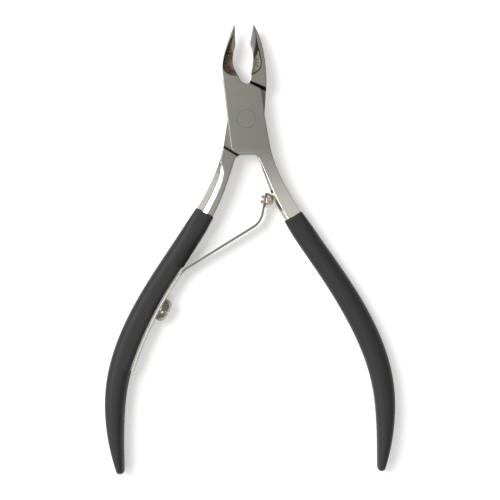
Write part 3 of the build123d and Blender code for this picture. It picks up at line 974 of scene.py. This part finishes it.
class NIPPER_OT_stage(Operator):
    """Make the floor, the lights and the camera"""

    bl_idname = "nipper.stage"
    bl_label = "Stage"

    def execute(self, context):
        settings = context.scene.nipper_stage
        mesh = bpy.data.meshes.new("floor")
        half = settings.floor_size / 2
        corners = [(-half, -half, 0), (half, -half, 0), (half, half, 0), (-half, half, 0)]
        mesh.from_pydata(corners, [], [(0, 1, 2, 3)])
        floor = bpy.data.objects.new("floor", mesh)
        context.scene.collection.objects.link(floor)
        material, _, shader = node_tree("white_floor")
        shader.inputs["Base Color"].default_value = (0.8, 0.8, 0.8, 1)
        shader.inputs["Roughness"].default_value = 1.0
        shader.inputs["Specular IOR Level"].default_value = 0.0
        shader.inputs["Emission Color"].default_value = (1, 1, 1, 1)
        shader.inputs["Emission Strength"].default_value = 0.33
        mesh.materials.append(material)

        world = bpy.data.worlds.new("studio")
        context.scene.world = world
        world.use_nodes = True
        background = world.node_tree.nodes["Background"]
        background.inputs["Color"].default_value = (1.0, 0.99, 0.97, 1)
        background.inputs["Strength"].default_value = 0.42

        middle = Vector((0.0, -0.03, 0.0))
        for name, place, size, power in (
            ("key", (-0.50, 0.26, 0.80), (0.55, 0.55), 7.5),
            ("left_band", (-0.72, -0.30, 0.38), (0.2, 0.6), 1.5),
            ("left_fill", (-0.75, 0.42, 0.40), (0.35, 0.3), 0.12),
            ("overhead", (0.05, -0.42, 0.9), (0.35, 0.25), 1.2),
        ):
            light = bpy.data.lights.new(name, "AREA")
            light.shape = "RECTANGLE"
            light.size, light.size_y = size
            light.energy = power
            lamp = bpy.data.objects.new(name, light)
            lamp.location = middle + Vector(place)
            lamp.rotation_euler = (middle - lamp.location).to_track_quat("-Z", "Y").to_euler()
            context.scene.collection.objects.link(lamp)

        camera = bpy.data.objects.new("camera", bpy.data.cameras.new("camera"))
        camera.data.lens = 100.0
        distance = settings.view_width * camera.data.lens / camera.data.sensor_width + MIDDLE_HEIGHT * MM
        camera.location = (0.0005, -0.0326, distance)
        camera.rotation_euler = (0.0, 0.0, math.radians(-0.75))
        context.scene.collection.objects.link(camera)
        context.scene.camera = camera
        context.scene.view_settings.view_transform = "Standard"
        return {"FINISHED"}


class NIPPER_OT_levers(Operator):
    """Make the two steel levers with their lap joint, ground tangs and hollowed jaws"""

    bl_idname = "nipper.levers"
    bl_label = "Levers"

    def execute(self, context):
        settings = context.scene.nipper_steel
        face = tuple(settings.face_colour)
        shade = tuple(0.88 * c for c in face)
        buffed_and_painted_highlight = tuple(settings.buffed_colour)
        steel = steel_material("satin_steel", face, shade, settings.face_roughness, buffed_and_painted_highlight=buffed_and_painted_highlight)
        front = Lever("front_lever", 1, settings).build("front_lever_steel", steel)
        finish_piece(front, "front", "steel", "front_lever")
        back = Lever("back_lever", -1, settings).build("back_lever_steel", steel)
        finish_piece(back, "back", "steel", "back_lever")
        return {"FINISHED"}


class NIPPER_OT_rivet(Operator):
    """Make the flush pivot rivet"""

    bl_idname = "nipper.rivet"
    bl_label = "Pivot rivet"

    def execute(self, context):
        radius = RIVET_HEAD_RADIUS - 0.015
        edge, lip = radius - 0.1, 0.03
        profile = [(0, 0), (edge, 0), (radius - lip, 0), (radius, lip), (radius, JOINT_TOP - lip)]
        profile += [(radius - lip, JOINT_TOP), (edge, JOINT_TOP), (0, JOINT_TOP)]
        vertices, faces = lathe(profile, (0, 0, 0), (0, 0, 1), 96)
        rivet = make_object("pivot_rivet_flush", vertices, faces, bpy.data.materials["satin_steel"], 20.0)
        finish_piece(rivet, "front", "rivet_steel", "pivot_rivet")
        return {"FINISHED"}


def grip_sides():
    """The outer and inner edge of the right grip in plan, from its top to its end."""
    loop = plan_outline("right_grip", JOINT_TOP / 2)
    a, b = (np.array(p) for p in RIGHT_MOUTH)
    along = (a - b) / np.linalg.norm(a - b)
    across = np.array([-along[1], along[0]])
    on_mouth = np.abs((loop - b) @ across) < 0.03
    place = np.where(on_mouth, (loop - b) @ along, np.nan)
    first, last = int(np.nanargmax(place)), int(np.nanargmin(place))
    ways = []
    for step in (1, -1):
        way = [first]
        while way[-1] != last:
            way.append((way[-1] + step) % len(loop))
        ways.append(way)
    way = loop[min(ways, key=lambda w: on_mouth[w].sum())]
    end = int(np.argmin(way[:, 1]))
    return way[: end + 1], way[end:][::-1]


def from_mouth(side, mouth):
    """The side, carried on or cut off at a top edge's line."""
    a, b = (np.array(p) for p in mouth)
    across = np.array([-(a - b)[1], (a - b)[0]])
    fine = resampled(side, 600)
    heading = (fine[0] - fine[8]) / np.linalg.norm(fine[0] - fine[8])
    fine = np.concatenate([[fine[0] + heading * s for s in np.arange(4, 0.01, -0.1)], fine])
    return fine[(fine - b) @ across <= 0]


def grip_mesh(mirrored, squareness):
    """The coat as a loft between its two edges in plan, with a rounded end and a cut top."""
    mouth = LEFT_MOUTH if mirrored else RIGHT_MOUTH
    outer, inner = (from_mouth(side, mouth) for side in grip_sides())
    share = np.concatenate([np.linspace(0, 0.96, 230), 1 - 0.04 * np.linspace(1, 0, 24)[1:-1] ** 1.6])
    shares = share * (len(outer) - 1), share * (len(inner) - 1)
    sides = []
    for side, at in zip((outer, inner), shares):
        s = np.arange(len(side))
        sides.append(np.column_stack([np.interp(at, s, side[:, 0]), np.interp(at, s, side[:, 1])]))
    count, vertices, faces = 40, [], []
    outline_end = outer[-1]
    for row in range(-1, len(share)):
        o, q = sides[0][max(row, 0)], sides[1][max(row, 0)]
        flat = 0.0
        if mirrored:
            q, flat = cut_to_seat(q)
        left = np.linalg.norm((o + q) / 2 - outline_end)
        tall = math.sqrt(max(0.0, 1 - max(0.0, 1 - left / 1.6) ** 2))
        if row < 0:
            shrink = (o - q) / np.linalg.norm(o - q) * 0.1
            o, q, tall = o - shrink, q + shrink, 0.965
        centre, arm = (o + q) / 2, (o - q) / 2
        below = under_mouth(centre, mouth)
        near_top = max(0.0, 1 - below / 9.0) ** 1.5
        arm = arm * (1 - 0.06 * max(0.0, 1 - below / 4.0))
        for j in range(count):
            a = 2 * math.pi * j / count
            c, s = math.cos(a), math.sin(a)
            power = squareness + 3.2 * near_top + (5.0 * flat if c < 0 else 0.0)
            p = centre + arm * math.copysign(abs(c) ** (2 / power), c)
            height = JOINT_TOP / 2 * tall * math.copysign(abs(s) ** (2 / power), s)
            vertices.append((-p[0] if mirrored else p[0], p[1], JOINT_TOP / 2 + height))
    rows = len(vertices) // count
    for i in range(rows - 1):
        for j in range(count):
            k = (j + 1) % count
            faces.append([i * count + j, i * count + k, (i + 1) * count + k, (i + 1) * count + j])
    faces.append(list(range(count)))
    faces.append([(rows - 1) * count + j for j in range(count)])
    return vertices, faces


def cut_to_seat(q):
    """The inner edge point moved to the seat within the spring's window, and how far inside the window it is.

    Points are drawn as on the right.
    """
    centre = np.array([-SEAT_CENTRE[0], SEAT_CENTRE[1]])
    away = q - centre
    angle = 180 - math.degrees(math.atan2(away[1], away[0]))
    inside_window = np.clip(min(angle - SEAT_UPPER_END + 1.25, SEAT_LOWER_END + 0.3 - angle) / 0.25, 0, 1)
    seat = centre + away / np.linalg.norm(away) * SEAT_RADIUS
    return q + (seat - q) * inside_window, inside_window


class NIPPER_OT_grips(Operator):
    """Make the two coated handles"""

    bl_idname = "nipper.grips"
    bl_label = "Grips"

    def execute(self, context):
        settings = context.scene.nipper_grip
        coat = coat_material(settings)
        for name, node, body, mirrored in (
            ("right_grip_coat", "right_grip", "front", False),
            ("left_grip_coat", "left_grip", "back", True),
        ):
            vertices, faces = grip_mesh(mirrored, settings.squareness)
            finish_piece(make_object(name, vertices, faces, coat, 50.0), body, "grip_coat", node)
        return {"FINISHED"}


class NIPPER_OT_spring(Operator):
    """Make the leaf spring as one strip, and the backing strip under its held length"""

    bl_idname = "nipper.spring"
    bl_label = "Leaf spring"

    def execute(self, context):
        thickness = context.scene.nipper_spring.leaf_thickness / MM
        face, shade, painted_highlight_colour = (0.215, 0.207, 0.193), (0.165, 0.158, 0.147), (0.5, 0.49, 0.46)
        steel = steel_material("leaf_steel", face, shade, 0.4, grain=1200.0, buffed_and_painted_highlight=painted_highlight_colour)
        backing_radius = SEAT_RADIUS - BACKING_DEPTH
        leaf_radius = SEAT_RADIUS - LEAF_DEPTH
        angles = np.linspace(SEAT_LOWER_END, SEAT_UPPER_END, 60)
        backing = [polar(backing_radius, a, SEAT_CENTRE) for a in angles]
        strip = strip_along("spring_backing_strip", backing, BACKING_THICKNESS, steel)
        # Painted highlight: the whole backing strip takes the lighter colour.
        set_mask(strip, "buffed_and_painted_highlight", lambda points: np.ones(len(points)))
        finish_piece(strip, "back", "spring_steel", "spring_backing")
        held = [polar(leaf_radius, a, SEAT_CENTRE) for a in angles]
        root = np.array(held[-1])
        heading = np.array(polar(1, SEAT_UPPER_END - 90))
        button, tip_heading = np.array(BUTTON_PLACE), np.array(polar(1, TIP_ANGLE))
        corners = [root, root + heading * ROOT_RUN]
        corners += [button - tip_heading * TIP_RUN, button + tip_heading * TIP_OVERHANG]
        arm = rounded_path(corners, BEND_RADIUS)
        path = np.concatenate([np.array(held), arm[1:]])
        path = resampled(path, int(length_of(path) / 0.3))
        leaf = strip_along("leaf_spring", path, thickness, steel)
        # Painted highlight: the leaf is lighter along its held length, fading out past the root onto the arm.
        set_mask(leaf, "buffed_and_painted_highlight", lambda points: np.clip(0.8 - (points[:, :2] - root) @ heading / 2.0, 0, 1))
        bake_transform(leaf)
        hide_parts("spring_base", "spring_arm")
        return {"FINISHED"}


class NIPPER_OT_screw(Operator):
    """Make the slotted screw that holds the spring"""

    bl_idname = "nipper.screw"
    bl_label = "Spring screw"

    def execute(self, context):
        radius = context.scene.nipper_spring.head_radius / MM
        nickel = steel_material("plated_screw", (0.35, 0.32, 0.28), (0.24, 0.215, 0.185), 0.22, grain=900.0)
        foot_angle = SEAT_UPPER_END + SCREW_PLACE * (SEAT_LOWER_END - SEAT_UPPER_END)
        foot = (*polar(SEAT_RADIUS - 1.05, foot_angle, SEAT_CENTRE), JOINT_TOP / 2)
        axis = (*polar(1, foot_angle + 180), 0.0)
        corners = [(0, -4.0), (1.2, -4.0), (1.2, 0.0), (radius, 0.0), (radius, 0.9), (radius * 0.86, 2.0)]
        corners.append((0.0, 2.35))
        profile = rounded_profile(corners, (0.2, 0.0, 0.18, 0.45, 0.7))
        vertices, faces = lathe(profile, foot, axis, 72)
        screw = make_object("spring_screw_head", vertices, faces, nickel)
        cutter = self.slot_cutter(foot, axis)
        modifier = screw.modifiers.new("slot", "BOOLEAN")
        modifier.object = cutter
        modifier.solver = "EXACT"
        depsgraph = context.evaluated_depsgraph_get()
        cut = bpy.data.meshes.new_from_object(screw.evaluated_get(depsgraph))
        screw.modifiers.clear()
        screw.data = cut
        cut.set_sharp_from_angle(angle=math.radians(32))
        bpy.data.objects.remove(cutter)
        finish_piece(screw, "back", "screw_nickel", "spring_screw")
        return {"FINISHED"}

    def slot_cutter(self, foot, axis):
        """A bar across the head, where the slot is."""
        out = Vector(axis).normalized()
        turn = math.radians(SLOT_TURN)
        across = out.cross(Vector((0, 0, 1)))
        along = Vector((0, 0, 1)) * math.cos(turn) + across * math.sin(turn)
        wide = out.cross(along)
        vertices = []
        for a in (-4, 4):
            for b, c in ((-0.42, 1.35), (0.42, 1.35), (0.42, 4.0), (-0.42, 4.0)):
                vertices.append(Vector(foot) + along * a + wide * b + out * c)
        faces = [(0, 1, 2, 3), (7, 6, 5, 4), (0, 4, 5, 1), (1, 5, 6, 2), (2, 6, 7, 3), (3, 7, 4, 0)]
        return make_object("slot_bar", vertices, faces, bpy.data.materials["plated_screw"])


class NIPPER_OT_button(Operator):
    """Make the glide button at the end of the leaf"""

    bl_idname = "nipper.button"
    bl_label = "Glide button"

    def execute(self, context):
        radius = context.scene.nipper_spring.button_radius / MM
        face, shade = (0.82, 0.72, 0.615), (0.64, 0.56, 0.475)
        metal = steel_material("warm_button_metal", face, shade, 0.42, grain=1500.0)
        origin, axis = (*BUTTON_PLACE, JOINT_TOP / 2), (*polar(1, TIP_ANGLE - 90), 0.0)
        low, rise = 0.25, 0.3
        angles = np.linspace(0.05, math.pi / 2, 16)
        dome = [(radius * math.cos(a), rise + radius * math.sin(a)) for a in angles]
        profile = [(0.0, -1.07), (0.8, -1.07), (0.95, -1.0), (1.0, -0.85), (1.0, -low), (0.6, -low)]
        profile.append((0.6, low))
        profile += [(radius - 0.08, low)] + dome[:-1] + [(0.0, rise + radius)]
        vertices, faces = lathe(profile, origin, axis, 64)
        button = make_object("glide_button_dome", vertices, faces, metal)
        finish_piece(button, "spring", "button_metal", "glide_button")
        return {"FINISHED"}


class NIPPER_PT_panel(Panel):
    """Lists the pieces and their settings"""

    bl_idname = "NIPPER_PT_panel"
    bl_label = "Cuticle Nipper"
    bl_space_type = "VIEW_3D"
    bl_region_type = "UI"
    bl_category = "Nipper"

    def draw(self, context):
        for title, settings, operators in PANEL_ROWS:
            box = self.layout.box()
            box.label(text=title)
            group = getattr(context.scene, settings)
            for key in group.__annotations__:
                box.prop(group, key)
            for operator in operators:
                box.operator(operator.bl_idname)


PANEL_ROWS = (
    ("Stage", "nipper_stage", (NIPPER_OT_stage,)),
    ("Steel", "nipper_steel", (NIPPER_OT_levers, NIPPER_OT_rivet)),
    ("Grips", "nipper_grip", (NIPPER_OT_grips,)),
    ("Spring", "nipper_spring", (NIPPER_OT_spring, NIPPER_OT_screw, NIPPER_OT_button)),
)
SETTINGS = {
    "nipper_stage": NipperStageSettings,
    "nipper_steel": NipperSteelSettings,
    "nipper_grip": NipperGripSettings,
    "nipper_spring": NipperSpringSettings,
}


def register():
    for settings in SETTINGS.values():
        bpy.utils.register_class(settings)
    for name, settings in SETTINGS.items():
        setattr(bpy.types.Scene, name, PointerProperty(type=settings))
    for row in PANEL_ROWS:
        for operator in row[2]:
            bpy.utils.register_class(operator)
    bpy.utils.register_class(NIPPER_PT_panel)


def unregister():
    bpy.utils.unregister_class(NIPPER_PT_panel)
    for row in PANEL_ROWS:
        for operator in row[2]:
            bpy.utils.unregister_class(operator)
    for name, settings in SETTINGS.items():
        delattr(bpy.types.Scene, name)
        bpy.utils.unregister_class(settings)


def main():
    register()
    bpy.ops.nipper.stage()
    bpy.ops.nipper.levers()
    bpy.ops.nipper.rivet()
    bpy.ops.nipper.grips()
    bpy.ops.nipper.spring()
    bpy.ops.nipper.screw()
    bpy.ops.nipper.button()


if __name__ == "__main__":
    main()
